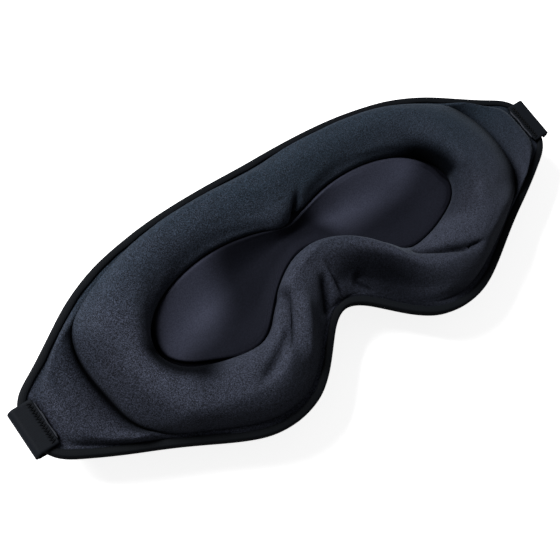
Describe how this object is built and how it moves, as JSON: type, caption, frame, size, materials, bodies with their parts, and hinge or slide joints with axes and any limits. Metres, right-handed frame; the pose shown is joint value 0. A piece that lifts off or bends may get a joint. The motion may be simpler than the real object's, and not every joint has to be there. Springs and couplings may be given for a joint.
{
  "type": "sleep eye mask",
  "caption": "Contoured sleep eye mask with a padded face-side ring, recessed eye cups, bound edge and an adjustable elastic strap folded behind it.",
  "frame": {"origin": "on the table plane under the folded-back strap, at the middle of the mask's width and of its height between forehead and cheek edge", "axes": "+X toward the wearer's right tip as seen from the face side, +Y toward the forehead edge, +Z out of the face side, away from the table"},
  "size_m": [0.2416, 0.0912, 0.0302],
  "materials": {
    "face_fabric": "brushed microfibre, very dark navy",
    "slow_foam": "open-cell slow-rebound foam",
    "cup_fabric": "smooth knit, near black",
    "shell_foam": "moulded closed-cell foam",
    "cover_fabric": "smooth knit, near black",
    "binding_fabric": "folded knit tape, black",
    "webbing": "woven elastic, black",
    "thread": "spun polyester thread",
    "slider_plastic": "moulded black plastic"
  },
  "bodies": {
    "mask": {"face_liner": "face_fabric", "ring_foam": "slow_foam", "wing_foam_left": "slow_foam", "wing_foam_right": "slow_foam", "eye_cup_lining": "cup_fabric", "shell_foam": "shell_foam", "front_cover": "cover_fabric", "edge_binding": "binding_fabric", "strap_end_left": "webbing", "strap_end_right": "webbing", "end_stitch_left": "thread", "end_stitch_right": "thread"},
    "long_strap": {"strap_long": "webbing", "tail_stitch": "thread"},
    "adjuster": {"slider": "slider_plastic"},
    "short_strap": {"strap_short": "webbing", "loop_stitch": "thread"}
  },
  "joints": [
    {"name": "left_fold", "type": "hinge", "parent": "mask", "child": "long_strap", "pos_m": [-0.11945, 0.00155, 0.01595], "axis": [0, 1, 0], "range_deg": [0, 150]},
    {"name": "slider_travel", "type": "slide", "parent": "long_strap", "child": "adjuster", "axis": [1, 0, 0], "range_m": [0, 0.04]},
    {"name": "loop_pivot", "type": "hinge", "parent": "adjuster", "child": "short_strap", "pos_m": [0.0056, 0.00155, 0.00195], "axis": [0, 1, 0], "range_deg": [0, 70]}
  ]
}
